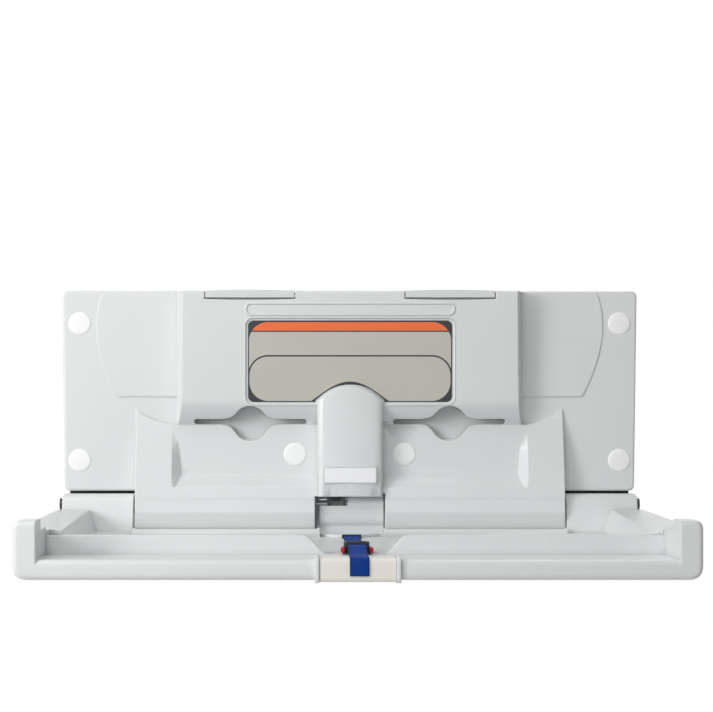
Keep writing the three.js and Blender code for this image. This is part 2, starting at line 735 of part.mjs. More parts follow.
// The rod end's slot lets the lever pin pass the middle of its arc
function rodEndBlock() {
  const wall = 3.2;
  const low = leverZ - pinRadius - pinRise - wall;
  const y0 = leverY - pinRadius - pinPlay - wall;
  const y1 = leverY + pinRadius + pinSweep + wall;
  const body = joined(block(eyeLeft, y0, low, eyeRight, y1, leverZ + pinRadius + pinRise + wall),
    rodZ(halfEye, leverZ, rodEndTop, springOffset, leverY));
  const high = leverZ + pinRadius + pinRise;
  const slot = block(eyeLeft - 1, y0 + wall, low + wall, eyeRight + 1, y1 - wall, high);
  const socket = rodZ(springRodRadius + fitGap / 2, rodEndTop - 6 - fitGap, rodEndTop + 1,
    springOffset, leverY);
  return cut(body, slot, socket);
}
place("gas_rod_end", rodEndBlock(), blackPlastic);

const pocketFloor = -9;
const pocketFront = 12;
const plateTop = pocketFloor + fitGap + 3.5;
function leverBracket() {
  const low = pocketFloor + fitGap;
  const base = block(pocketLeft + fitGap, axisY - pocketFront + 1, low,
    pocketRight - fitGap, leverY + 12, plateTop);
  const cheeks = [pocketLeft + fitGap, pocketRight - fitGap - leverThickness + 1].map((x) =>
    joined(block(x, leverY - 7, low, x + leverThickness - 1, leverY + 7, leverZ),
      rodX(7, x, x + leverThickness - 1, leverY, leverZ)));
  const bore = rodX(pinRadius + fitGap / 2, pocketLeft, pocketRight, leverY, leverZ);
  return joined(base, ...cheeks).subtract(bore);
}
const leverScrewY = axisY - 6;
place("lever_bracket", leverBracket()
  .subtract(rodZ(2.6, pocketFloor - 1, plateTop + 1, springOffset, leverScrewY, 12)), steel);
place("lever_pin", rodX(pinRadius, pocketLeft + fitGap, pocketRight - fitGap, leverY, leverZ), steel);
place("lever_screw", joined(rodZ(2.3, pocketFloor - 12, plateTop + 0.5, springOffset, leverScrewY, 12),
  rodZ(4.5, plateTop + fitGap, plateTop + 2.5, springOffset, leverScrewY, 16)), steel);

// Bed: a double-walled tray with rims, corner posts, a front shelf and three hinge knuckles
const bedRear = axisY - rearGap;
const rimRear = axisY - knuckleRadius - 8;

function bedSide() {
  return outline([[bedFront, bedBottom], [bedFront, postTop], [bedFront + postDepth, postTop],
    [bedFront + postDepth + 4, sideRimFront - 2], [shelfRear, sideRimFront], [rimRear, sideRimRear],
    [rimRear, sideRimRear - 20], [bedRear - 4, bedBottom]]);
}

function bedFrontView() {
  const shape = new THREE.Shape();
  const round = postRound;
  shape.moveTo(-halfWidth + bedCorner, bedBottom);
  shape.lineTo(halfWidth - bedCorner, bedBottom);
  shape.quadraticCurveTo(halfWidth, bedBottom, halfWidth, bedBottom + bedCorner);
  shape.lineTo(halfWidth, postTop - round);
  shape.quadraticCurveTo(halfWidth, postTop, halfWidth - round, postTop);
  shape.lineTo(-halfWidth + round, postTop);
  shape.quadraticCurveTo(-halfWidth, postTop, -halfWidth, postTop - round);
  shape.lineTo(-halfWidth, bedBottom + bedCorner);
  shape.quadraticCurveTo(-halfWidth, bedBottom, -halfWidth + bedCorner, bedBottom);
  return shape;
}

// The well of the tray, wider at the front, with a floor that sags to the middle
function trayWell() {
  const high = postTop + 20;
  const slope = sideWallSlope / (sideRimInner - floorEdge);
  const steps = 12;
  const points = [[floorFront, trayHalfFront], [1, trayHalfRear]].flatMap(([y, half]) => {
    const floorHalf = half - sideWallSlope;
    const wide = floorHalf + slope * (high - floorEdge);
    const floor = Array.from({ length: steps + 1 }, (_, i) => {
      const across = (2 * i) / steps - 1;
      return [across * floorHalf, y, floorMiddle + (floorEdge - floorMiddle) * across * across];
    });
    return [...floor, [-wide, y, high], [wide, y, high]];
  });
  return wasm.Manifold.hull(points);
}

// Planes off the tops of the side rims, which fall towards the tray at the front
function rimSlope(sign) {
  const outer = sign * (halfWidth + 1);
  const corners = [[outer, rimRear + 1, sideRimRear], [sign * trayHalfRear, rimRear + 1, sideRimRear - 0.5],
    [outer, shelfRear, sideRimFront], [sign * (trayHalfFront - 2), shelfRear, sideRimInner]];
  return wasm.Manifold.hull([...corners, ...corners.map(([x, y]) => [x, y, postTop + 20])]);
}

// A side arm of the bed, up to the hinge barrel, with its outer corner rounded
function sideKnuckle(sign) {
  const [x0, x1] = span(sign, knuckleInner, knuckleOuter);
  const shape = new THREE.Shape();
  shape.moveTo(sign * knuckleInner, bedBottom);
  shape.lineTo(sign * knuckleOuter, bedBottom);
  shape.lineTo(sign * knuckleOuter, knuckleRadius - armCorner);
  shape.quadraticCurveTo(sign * knuckleOuter, knuckleRadius + 0.2,
    sign * (knuckleOuter - armCorner), knuckleRadius + 0.2);
  shape.lineTo(sign * knuckleInner, knuckleRadius + 0.2);
  const body = outline([[axisY - knuckleRadius + 0.3, 3], [axisY - 21, -12], [floorBack, floorMiddle + 1],
    [floorBack - 12, floorMiddle - 4], [floorBack - 12, bedBottom + 2], [bedRear - 3, bedBottom + 2],
    [axisY - 6, -knuckleRadius + 1.5]]);
  return joined(alongX(body, x0, x1), rodX(knuckleRadius, x0, x1, axisY, 0, 32))
    .intersect(alongY(shape, openBack, bedFront));
}

// The middle arm stands upright, so that it passes under the cover when the bed is folded
function centreKnuckle() {
  const front = axisY - webFront;
  const shoulder = axisY - webShoulder;
  const body = outline([[shoulder + 1, -6], [shoulder + 1.4, -15.5], [shoulder, -18], [shoulder, -27.4],
    [front, -32], [front, floorMiddle + 2], [front - 3, floorMiddle - 0.5],
    [bedRear - 6, floorMiddle - 0.5], [bedRear - 6, bedBottom], [bedRear + 2, bedBottom],
    [axisY - 8, bedBottom + 4], [axisY + 5, floorMiddle], [axisY + 8, -12]]);
  const barrel = rodX(knuckleRadius, centreLeft, centreRight, axisY, 0, 32);
  return alongX(body, centreLeft, centreRight).add(barrel);
}

// A lip along the rear of the floor on each side of the middle arm, and a wedge in front of the arm
function rearEdge() {
  const tall = outline([[bedRear, bedBottom + 6], [bedRear, rearLip], [bedRear - rearLipDepth, rearLip],
    [bedRear - rearLipDepth - 12, floorMiddle - 2], [bedRear - rearLipDepth - 12, bedBottom + 6]]);
  const lips = [[-knuckleInner, centreLeft + 1], [centreRight - 1, knuckleInner]].map((ends) =>
    alongX(tall, ...ends));
  const half = halfOpening - knuckleGapLeft;
  const tip = half * 0.36;
  const wedge = outline([[-half, bedRear + 5], [half, bedRear + 5], [half, bedRear - 2], [tip, bedRear - 26],
    [-tip, bedRear - 26], [-half, bedRear - 2]]);
  return joined(alongZ(wedge, floorMiddle - 4, wedgeTop), ...lips);
}

// The space over the front shelf, with a rounded front edge
function shelfView() {
  const high = postTop + 1;
  const shape = new THREE.Shape();
  shape.moveTo(shelfRear, shelfHeight);
  shape.lineTo(shelfRear, high);
  shape.lineTo(bedFront - 1, high);
  shape.lineTo(bedFront - 1, shelfHeight - bedEdgeRound);
  shape.lineTo(bedFront, shelfHeight - bedEdgeRound);
  shape.quadraticCurveTo(bedFront, shelfHeight, bedFront + bedEdgeRound, shelfHeight);
  return shape;
}

function dipView() {
  const topHalf = dipWidthTop / 2;
  const lowHalf = dipWidthBottom / 2;
  const high = shelfHeight + frontRimHeight + 1;
  const low = lowHalf + (topHalf - lowHalf) * 0.4;
  const mid = topHalf - (topHalf - lowHalf) * 0.5;
  const shape = new THREE.Shape();
  shape.moveTo(-lowHalf, shelfHeight);
  shape.lineTo(lowHalf, shelfHeight);
  shape.bezierCurveTo(low, shelfHeight, mid, high, topHalf, high);
  shape.lineTo(-topHalf, high);
  shape.bezierCurveTo(-mid, high, -low, shelfHeight, -lowHalf, shelfHeight);
  return shape;
}

function bedHollow() {
  const low = bedBottom + wallThickness;
  const half = halfWidth - wallThickness - 3;
  const rear = bedRear - wallThickness - 8;
  const front = bedFront + wallThickness + edgeRound;
  const under = block(-half, front, low, half, rear, Math.min(shelfHeight, floorMiddle) - wallThickness);
  const rims = sides.map(([, sign]) => {
    const [x0, x1] = span(sign, trayHalfFront + wallThickness, half);
    return block(x0, shelfRear + wallThickness, low, x1, rear, sideRimInner - wallThickness);
  });
  return joined(under, ...rims);
}

const halfGrip = gripWidth / 2;
const gripScrews = sides.map(([side, sign]) => [side, sign * (halfGrip - 16), bedFront + gripTopLeg - 12]);
const drainX = halfWidth - 120;
const drains = [bedFront + 140, bedRear - 90].flatMap((y) => [[-drainX, y], [drainX, y]]);
const slotY = axisY - strapSlotForward;

function bedShell() {
  const slab = alongY(bedFrontView(), axisY, bedFront, bedEdgeRound);
  const rearCut = block(-knuckleInner, bedRear, bedBottom - 1, knuckleInner, 1, postTop + 20);
  let body = slab.intersect(alongX(bedSide(), -halfWidth - 1, halfWidth + 1)).subtract(rearCut);
  body = cut(body, trayWell(), rimSlope(-1), rimSlope(1));
  const rimTop = block(-frontRimHalf, shelfRear - 1, shelfHeight + frontRimHeight,
    frontRimHalf, floorFront + 1, postTop + 1);
  const shelf = alongX(shelfView(), -halfWidth + postWidth, halfWidth - postWidth);
  body = cut(body, shelf, rimTop, alongY(dipView(), floorFront + 1, shelfRear - 1));
  const arms = sides.map(([, sign]) => sideKnuckle(sign));
  const ribs = sides.map(([, sign]) => alongX(gripProfile(-4, gripThickness + gripRibRise + fitGap + 4),
    ...span(sign, halfGrip - gripRib, halfGrip)));
  body = joined(body, ...arms, centreKnuckle(), rearEdge(), ...ribs);
  body = body.subtract(bedHollow());
  const reach = halfWidth + 1;
  const pocket = block(pocketLeft, axisY - pocketFront, pocketFloor, pocketRight, 1, knuckleRadius + 1);
  const notch = block(centreLeft - 1, axisY - knuckleRadius - 1, notchFloor,
    notchRight, 1, knuckleRadius + 1);
  body = cut(body, rodX(rodRadius + boreGap / 2, -reach, reach, axisY, 0), pocket, notch);
  body = cut(body, rodZ(2.5, pocketFloor - 14, pocketFloor + 1, springOffset, leverScrewY, 12));
  for (const [, x, y] of gripScrews) body = cut(body, rodZ(2.5, bedBottom - 1, bedBottom + 9, x, y, 12));
  for (const [x, y] of drains) body = cut(body, rodZ(drainRadius, bedBottom - 1, shelfHeight - 2, x, y, 16));
  const half = strapWidth / 2 + slotTrimRim;
  return body.subtract(block(strapMiddle - half, slotY - slotTrimDepth / 2, shelfHeight - 9,
    strapMiddle + half, slotY + slotTrimDepth / 2, 0));
}
place("bed_shell", bedShell(), greyPlastic);

// Front grip over the bed's front edge, held by screws from below
function gripProfile(gap, over) {
  const front = bedFront - gap - over;
  const legEnd = bedFront + gripTopLeg;
  const top = shelfHeight + gap;
  const low = bedBottom - gap;
  const round = edgeRound + 2;
  const shape = new THREE.Shape();
  shape.moveTo(legEnd, top);
  shape.lineTo(legEnd, top + over);
  shape.lineTo(front + round, top + over);
  shape.quadraticCurveTo(front, top + over, front, top + over - round);
  shape.lineTo(front, low - over + round);
  shape.quadraticCurveTo(front, low - over, front + round, low - over);
  shape.lineTo(legEnd, low - over);
  shape.lineTo(legEnd, low);
  shape.lineTo(bedFront - gap, low);
  shape.lineTo(bedFront - gap, top);
  return shape;
}
function frontGrip() {
  const half = halfGrip - gripRib - fitGap;
  let body = alongX(gripProfile(fitGap, gripThickness), -half, half);
  for (const [, x, y] of gripScrews) body = body.subtract(rodZ(2.6, bedBottom - 8, bedBottom + 1, x, y, 12));
  return body;
}
place("front_grip", frontGrip(), creamPlastic);
for (const [side, x, y] of gripScrews) {
  const seat = bedBottom - fitGap - gripThickness;
  place(`grip_screw_${side}`, joined(rodZ(2.3, seat - 0.5, bedBottom + wallThickness + 2, x, y, 12),
    rodZ(4.5, seat - 2.2, seat - fitGap, x, y, 16)), steel);
}

// Strap: a trim round the slot in the floor, an anchor under it, the webbing, and the buckle
const trimHalf = strapWidth / 2 + slotTrimRim - fitGap;
const trimDepth = slotTrimDepth / 2 - fitGap;
const throat = strapThickness;
const acrossStrap = (half, y0, z0, y1, z1) => block(strapMiddle - half, y0, z0, strapMiddle + half, y1, z1);
const trimTop = floorMiddle + 1.8;
place("strap_slot_trim", joined(
  acrossStrap(trimHalf + 0.8, slotY - trimDepth - 2.5, floorMiddle + fitGap,
    slotY + trimDepth + 2.5, trimTop),
  acrossStrap(trimHalf, slotY - trimDepth, shelfHeight - 7, slotY + trimDepth, floorMiddle + 1))
  .subtract(acrossStrap(strapWidth / 2 + 0.6, slotY - throat, shelfHeight - 8, slotY + throat, trimTop + 1))
  .add(acrossStrap(trimHalf, slotY + throat, floorMiddle + fitGap, slotY + trimDepth, slotHoodTop))
  .add(acrossStrap(trimHalf, slotY - 1, slotHoodTop - 1, slotY + trimDepth, slotHoodTop)), blackPlastic);

// A strip of webbing along a centre line drawn in (Y, Z)
function webbing(points, middle) {
  const half = strapThickness / 2;
  const normals = points.map((point, i) => {
    const before = points[Math.max(0, i - 1)];
    const after = points[Math.min(points.length - 1, i + 1)];
    const along = new THREE.Vector2(after[0] - before[0], after[1] - before[1]).normalize();
    return [-along.y * half, along.x * half];
  });
  const upper = points.map(([y, z], i) => [y + normals[i][0], z + normals[i][1]]);
  const lower = points.map(([y, z], i) => [y - normals[i][0], z - normals[i][1]]).reverse();
  return alongX(outline([...upper, ...lower]), middle - strapWidth / 2, middle + strapWidth / 2);
}

const halfThick = strapThickness / 2;
const lieHeight = trimTop + fitGap + halfThick;
const floorLie = floorMiddle + fitGap + halfThick;
const buckleFront = buckleRear - buckleLength;
const tongueRear = buckleRear + tongueLength;
const buckleLow = floorMiddle + fitGap;
const buckleHigh = buckleLow + buckleThickness;
const tongueMid = buckleLow + buckleThickness / 2;
place("strap_rear", webbing([[slotY, shelfHeight - 8.5], [slotY, floorMiddle + 0.5],
  [slotY - 0.8, lieHeight - 0.5], [slotY - 3, lieHeight], [slotY - trimDepth - 4, lieHeight],
  [slotY - trimDepth - 18, floorLie], [tongueRear + 16, floorLie], [tongueRear + 6, tongueMid],
  [tongueRear - 3, tongueMid]], strapMiddle), blueWebbing);
place("strap_anchor", acrossStrap(trimHalf, slotY - 9, shelfHeight - 13, slotY + 9, shelfHeight - 9), steel);

const gripTop = shelfHeight + fitGap + gripThickness;
const tailFace = bedFront - gripThickness - fitGap * 2 - halfThick;
const tailLie = gripTop + fitGap + halfThick;
const deckTop = buckleLow + buckleDeck;
const barFront = buckleRear - buckleBar;
const tailTop = deckTop + fitGap + halfThick;
place("strap_tail", webbing([[barFront - 1, tailTop], [buckleFront - 1, tailTop],
  [buckleFront - 8, tailTop - 2], [buckleFront - 22, tailLie + 1.5], [buckleFront - 32, tailLie],
  [tailFace + 9, tailLie],
  [tailFace + 4.5, tailLie - 0.35], [tailFace + 1.5, tailLie - 1.5], [tailFace + 0.35, tailLie - 4.5],
  [tailFace, tailLie - 9], [tailFace, tailLie - tailDrop]],
strapMiddle + tailOffset), blueWebbing);

const halfBuckle = buckleWidth / 2;
const wingDepth = 5;
const tabLength = 18;
const tabMiddle = buckleFront + 3 + tabLength / 2;
const tabZ0 = buckleLow + 0.2;
const tabZ1 = deckTop - 0.2;
const tabSpan = (sign, near, far) => span(sign, near, far).map((x) => x + strapMiddle);
function buckleBody() {
  const plan = (half, y0, y1, radius) => roundedBox(strapMiddle - half, y0, strapMiddle + half, y1, radius);
  const bar = alongZ(plan(halfBuckle - 1.5, barFront, buckleRear, 4), buckleLow, buckleHigh, 4);
  const deck = alongZ(plan(halfBuckle, buckleFront, barFront + 6, 5), buckleLow, deckTop, 4);
  let body = joined(bar, deck,
    alongZ(plan(halfBuckle, buckleFront, floorFront - 3, 5), shelfHeight + fitGap, buckleLow + 1, 4));
  for (const [, sign] of sides) {
    const [x0, x1] = tabSpan(sign, halfBuckle - wingDepth - releaseTravel - 1, halfBuckle + 1);
    const half = tabLength / 2 + 0.5;
    body = body.subtract(block(x0, buckleFront - 1, tabZ0 - 0.5, x1, tabMiddle + half, deckTop + 1));
  }
  return body.subtract(acrossStrap(tongueHalf + 0.5, buckleRear - tongueGrip, buckleLow + 3.2,
    buckleRear + 1, buckleHigh - 3.2));
}
place("buckle_body", buckleBody(), blackPlastic);
for (const [side, sign] of sides) {
  const [x0, x1] = tabSpan(sign, halfBuckle - wingDepth, halfBuckle + tabProud);
  const tab = block(x0, tabMiddle - tabLength / 2, tabZ0, x1, tabMiddle + tabLength / 2, tabZ1);
  place(`release_tab_${side}`, tab, redPlastic);
}
place("buckle_tongue", joined(
  acrossStrap(tongueHalf, buckleRear - tongueGrip + 1, tongueMid - 2.8, buckleRear + 2, tongueMid + 2.8),
  acrossStrap(halfBuckle - 2, buckleRear + fitGap, tongueMid - 4, tongueRear, tongueMid + 4))
  .subtract(acrossStrap(strapWidth / 2 + 0.6, tongueRear - 6, tongueMid - halfThick - fitGap,
    tongueRear + 1, tongueMid + halfThick + fitGap)), blackPlastic);

export default station;
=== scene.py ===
import math

import bmesh
import bpy
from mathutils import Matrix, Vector


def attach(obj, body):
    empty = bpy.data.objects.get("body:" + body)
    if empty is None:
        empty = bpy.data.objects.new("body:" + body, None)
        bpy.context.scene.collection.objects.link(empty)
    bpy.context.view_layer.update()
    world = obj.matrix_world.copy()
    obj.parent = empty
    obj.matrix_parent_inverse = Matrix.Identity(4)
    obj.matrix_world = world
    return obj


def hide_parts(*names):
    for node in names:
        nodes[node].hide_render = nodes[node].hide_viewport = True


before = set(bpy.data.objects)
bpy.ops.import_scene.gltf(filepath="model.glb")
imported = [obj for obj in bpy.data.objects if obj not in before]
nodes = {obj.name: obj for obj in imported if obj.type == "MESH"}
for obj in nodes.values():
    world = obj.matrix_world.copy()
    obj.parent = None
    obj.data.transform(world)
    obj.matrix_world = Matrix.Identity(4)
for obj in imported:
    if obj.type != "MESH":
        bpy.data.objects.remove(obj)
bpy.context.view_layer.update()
scene = bpy.context.scene
print("frame loaded,", len(nodes), "nodes")

# camera, at the photograph's viewing angle
lens = {
    "place": (-0.066, -2.908, 0.1365), "sensor": 36,
    "focalPixels": 1855, "middle": (307, 416), "picture": (713, 712),
}
pictureWidth, pictureHeight = lens["picture"]
cameraData = bpy.data.cameras.new("camera")
cameraData.sensor_width = lens["sensor"]
cameraData.lens = lens["sensor"] * lens["focalPixels"] / pictureWidth
cameraData.shift_x = (pictureWidth / 2 - lens["middle"][0]) / pictureWidth
cameraData.shift_y = (lens["middle"][1] - pictureHeight / 2) / pictureWidth
camera = bpy.data.objects.new("camera", cameraData)
camera.location = lens["place"]
camera.rotation_euler = (math.pi / 2, 0, 0)
scene.collection.objects.link(camera)
scene.camera = camera
print("camera set")


# node maths: wraps a socket so that an expression adds its Math nodes
class Sock:
    def __init__(self, graph, socket):
        self.graph = graph
        self.socket = socket

    def maths(self, operation, other=None, swapped=False):
        values = [other, self] if swapped else [self, other]
        inputs = {i: v for i, v in enumerate(values) if v is not None}
        return self.graph.add("ShaderNodeMath", {"operation": operation}, inputs)

    def __add__(self, other):
        return self.maths("ADD", other)

    __radd__ = __add__

    def __mul__(self, other):
        return self.maths("MULTIPLY", other)

    __rmul__ = __mul__

    def __sub__(self, other):
        return self.maths("SUBTRACT", other)

    def __rsub__(self, other):
        return self.maths("SUBTRACT", other, swapped=True)

    def __truediv__(self, other):
        return self.maths("DIVIDE", other)

    def __gt__(self, other):
        return self.maths("GREATER_THAN", other)

    def __lt__(self, other):
        return self.maths("LESS_THAN", other)

    def __abs__(self):
        return self.maths("ABSOLUTE")

    def atLeast(self, other):
        return self.maths("MAXIMUM", other)

    def atMost(self, other):
        return self.maths("MINIMUM", other)

    def root(self):
        return self.maths("SQRT")

    def sine(self):
        return self.maths("SINE")

    def whole(self):
        return self.maths("FLOOR")


class Graph:
    def __init__(self, nodeTree):
        self.nodes = nodeTree.nodes
        self.links = nodeTree.links

    def set(self, node, key, value):
        socket = node.inputs[key]
        if isinstance(value, Sock):
            self.links.new(value.socket, socket)
        elif socket.type == "RGBA" and len(value) == 3:
            socket.default_value = (*value, 1)
        else:
            socket.default_value = value

    def add(self, kind, settings=None, inputs=None, out=0):
        node = self.nodes.new(kind)
        for key, value in (settings or {}).items():
            setattr(node, key, value)
        for key, value in (inputs or {}).items():
            self.set(node, key, value)
        return Sock(self, node.outputs[out])

    # 1 where the camera, a reflection or a see-through part looks
    def lightPath(self):
        rays = self.nodes.new("ShaderNodeLightPath")
        seen = Sock(self, rays.outputs["Is Camera Ray"])
        for kind in ("Is Glossy Ray", "Is Transmission Ray"):
            seen = seen.atLeast(Sock(self, rays.outputs[kind]))
        return seen


def linear(hexCode):
    channels = [int(hexCode[i:i + 2], 16) / 255 for i in (0, 2, 4)]
    return tuple(c / 12.92 if c <= 0.04045 else ((c + 0.055) / 1.055) ** 2.4 for c in channels)


# painted light on the big mouldings: a painted highlight along outer edges and painted shade in creases, how
# far each reaches and how strongly it shows
paintedLight = {
    "highlightTint": "fcfdfd", "highlightReach": 0.0028, "highlightFrom": 0.55, "highlightGain": 9, "highlightMost": 0.5,
    "shadeTint": "9a9fa1", "shadeReach": 0.014, "shadeFrom": 0.72, "shadeGain": 1.1, "shadeMost": 0.4,
    "samples": 6,
}


class Finish(Graph):
    def __init__(self, name):
        self.material = bpy.data.materials.new(name)
        self.material.use_nodes = True
        super().__init__(self.material.node_tree)
        self.shader = self.nodes["Principled BSDF"]

    def place(self):
        return self.add("ShaderNodeTexCoord", out="Object")

    def axes(self, vector):
        return [self.add("ShaderNodeSeparateXYZ", {}, {0: vector}, i) for i in range(3)]

    def noise(self, scale, detail, vector):
        return self.add("ShaderNodeTexNoise", {}, {"Vector": vector, "Scale": scale, "Detail": detail})

    def mix(self, factor, first, second):
        return self.add("ShaderNodeMix", {"data_type": "RGBA"}, {0: factor, 6: first, 7: second}, 2)

    # normals turned over an edge, so that it looks rounded
    def overEdges(self, radius):
        return self.add("ShaderNodeBevel", {"samples": paintedLight["samples"]}, {"Radius": radius})

    def bump(self, height, strength, distance, rounding=0.0):
        inputs = {"Height": height, "Strength": strength, "Distance": distance}
        if rounding:
            inputs["Normal"] = self.overEdges(rounding)
        return self.add("ShaderNodeBump", {}, inputs)

    # a tint with a painted highlight on outer edges and painted shade in creases
    def paintHighlightAndShade(self, tint):
        normals = {0: self.overEdges(paintedLight["highlightReach"]), 1: self.add("ShaderNodeNewGeometry", out="Normal")}
        level = self.add("ShaderNodeVectorMath", {"operation": "DOT_PRODUCT"}, normals, "Value")
        clear = self.add("ShaderNodeAmbientOcclusion", {"samples": paintedLight["samples"], "only_local": True},
                         {"Distance": paintedLight["shadeReach"]}, "AO")
        # edges take a painted highlight, and creases take painted shade from the occlusion
        edges = (1 - level) * (clear - paintedLight["highlightFrom"]).atLeast(0) * paintedLight["highlightGain"]
        creases = (paintedLight["shadeFrom"] - clear).atLeast(0) * paintedLight["shadeGain"]
        highlighted = self.mix(edges.atMost(paintedLight["highlightMost"]), tint, linear(paintedLight["highlightTint"]))
        return self.mix(creases.atMost(paintedLight["shadeMost"]), highlighted, linear(paintedLight["shadeTint"]))

    def done(self, **sockets):
        for key, value in sockets.items():
            self.set(self.shader, key.replace("_", " "), value)
        return self.material


# moulded plastic: a faint cloudy shade, fine pebble grain, a slow ripple and uneven gloss
pebble = {
    "cloud": (7, 4), "speckDetail": 2, "ripple": (38, 3),
    "rippleShare": 0.6, "depth": 0.0004, "glossSwing": 0.16,
}


def mouldedPlastic(name, colour, shade, roughness, grain=0.1, scale=900, rounding=0.0):
    finish = Finish(name)
    place = finish.place()
    cloud = finish.noise(*pebble["cloud"], place)
    speck = finish.noise(scale, pebble["speckDetail"], place)
    ripple = finish.noise(*pebble["ripple"], place)
    height = speck + ripple * pebble["rippleShare"]
    tint = finish.mix(cloud, linear(colour), linear(shade))
    # with rounding, the tint also takes a painted edge highlight and painted crease shade
    if rounding:
        tint = finish.paintHighlightAndShade(tint)
    return finish.done(Base_Color=tint, Roughness=roughness + (ripple - 0.5) * pebble["glossSwing"],
                       Normal=finish.bump(height, grain, pebble["depth"], rounding))


# brushed steel: fine lines along X under a few stains
brushing = {
    "stretch": (20, 900, 900), "lines": (3, 4), "spots": (60, 3),
    "stainShare": 0.6, "glossSwing": 0.16, "strength": 0.15, "depth": 0.0002,
}


def brushedSteel(name, colour, stain, roughness):
    finish = Finish(name)
    place = finish.place()
    stretched = finish.add("ShaderNodeMapping", {}, {"Vector": place, "Scale": brushing["stretch"]})
    lines = finish.noise(*brushing["lines"], stretched)
    spots = finish.noise(*brushing["spots"], place)
    tint = finish.mix(spots * brushing["stainShare"], linear(colour), linear(stain))
    return finish.done(Base_Color=tint, Metallic=1.0, Roughness=roughness + lines * brushing["glossSwing"],
                       Normal=finish.bump(lines, brushing["strength"], brushing["depth"]))


greyPlastic = mouldedPlastic("greyPlastic", "e2e4e4", "dcdfdf", 0.33, rounding=0.0026)
trayPlastic = mouldedPlastic("trayPlastic", "e2e4e4", "dcdfdf", 0.33, rounding=0.004)
lidPlastic = mouldedPlastic("lidPlastic", "dfe1e1", "d8dbdb", 0.48)
capPlastic = mouldedPlastic("capPlastic", "fbfcfb", "f6f7f6", 0.4, 0.05)
gripPlastic = mouldedPlastic("gripPlastic", "ecebe4", "e6e4dc", 0.42, 0.06)
badgePlastic = mouldedPlastic("badgePlastic", "fafafb", "f4f4f7", 0.3, 0.02)
blackPlastic = mouldedPlastic("blackPlastic", "141517", "1b1d1f", 0.42)
redPlastic = mouldedPlastic("redPlastic", "c01722", "a8121b", 0.38, 0.06)
# the washers' nylon is made dark to stand in for the shade of the hinge gap where they show: painted shade
gapShadeNylon = mouldedPlastic("gapShadeNylon", "2a2c2e", "323437", 0.45, 0.05)
blackPaint = mouldedPlastic("blackPaint", "17181a", "1d1f21", 0.35, 0.04)
threadBlue = mouldedPlastic("threadBlue", "1c4da6", "143c88", 0.7, 0.2, 2400)
plainSteel = brushedSteel("plainSteel", "9aa1a6", "6b7176", 0.3)
darkSteel = brushedSteel("darkSteel", "5c6166", "34373a", 0.36)
print("plain finishes made")

# blank film plate: dark ground, one warm band and two pale fields, measured in metres on the plate
# a box is its middle height, half width, half height and corner
film = {
    "ground": "25282c", "band": "f0703a", "field": "c6c4b9", "fieldShade": "bdbbb0",
    "wholeBox": (0.2197, 0.1548, 0.0607, 0.0285), "lowerBox": (0.1936, 0.1541, 0.0340, 0.0285),
    "bandLow": 0.2673, "fieldHigh": 0.2654, "line": 0.0024, "edge": 0.0018,
    "archTop": 0.1875, "archHalf": 0.055, "archDrop": 0.0265, "archCurve": 0.25, "archMost": 2,
    "blotch": (14, 3), "speck": (500, 2), "strength": 0.05, "depth": 0.0002,
    "roughness": 0.36, "glossSwing": 0.12,
}


def filmPlate(name):
    finish = Finish(name)
    place = finish.place()
    x, _, z = finish.axes(place)

    # how far a point lies inside a rounded box
    def depthIn(box):
        middleZ, halfX, halfZ, corner = box
        acrossX = abs(x) - (halfX - corner)
        acrossZ = abs(z - middleZ) - (halfZ - corner)
        outX = acrossX.atLeast(0)
        outZ = acrossZ.atLeast(0)
        return corner - (outX * outX + outZ * outZ).root() - acrossX.atLeast(acrossZ).atMost(0)

    curve = film["archCurve"]
    across = x / film["archHalf"]
    share = (across * across).atMost(film["archMost"])
    arch = film["archTop"] - share * (1 + curve - share * curve) * film["archDrop"]
    blotch = finish.noise(*film["blotch"], place)
    field = finish.mix(blotch, linear(film["field"]), linear(film["fieldShade"]))
    whole = depthIn(film["wholeBox"]) > 0
    lower = depthIn(film["lowerBox"])
    upperField = (z < film["fieldHigh"]) * (lower < -film["line"]) * (z > film["lowerBox"][0])
    fields = (upperField + (lower > 0)) * ((z - arch) > film["edge"])
    tint = finish.mix(whole * (z > film["bandLow"]), linear(film["ground"]), linear(film["band"]))
    tint = finish.mix(whole * fields, tint, field)
    speck = finish.noise(*film["speck"], place)
    return finish.done(Base_Color=tint, Roughness=film["roughness"] + blotch * film["glossSwing"],
                       Normal=finish.bump(speck, film["strength"], film["depth"]))


labelFilm = filmPlate("labelFilm")

# webbing: ribs of weft over warp columns, read from the strip's own map in metres, with darker selvedges
weave = {
    "colour": "003c96", "shade": "002c70", "edge": "00245a",
    "rib": 0.0015, "column": 0.0021, "selvedge": 0.0112, "columnShare": 0.4,
    "fuzz": (240, 4), "fuzzShare": 0.25, "strength": 0.6, "depth": 0.0004,
    "roughness": 0.62, "glossSwing": 0.2, "shine": 0.2,
}


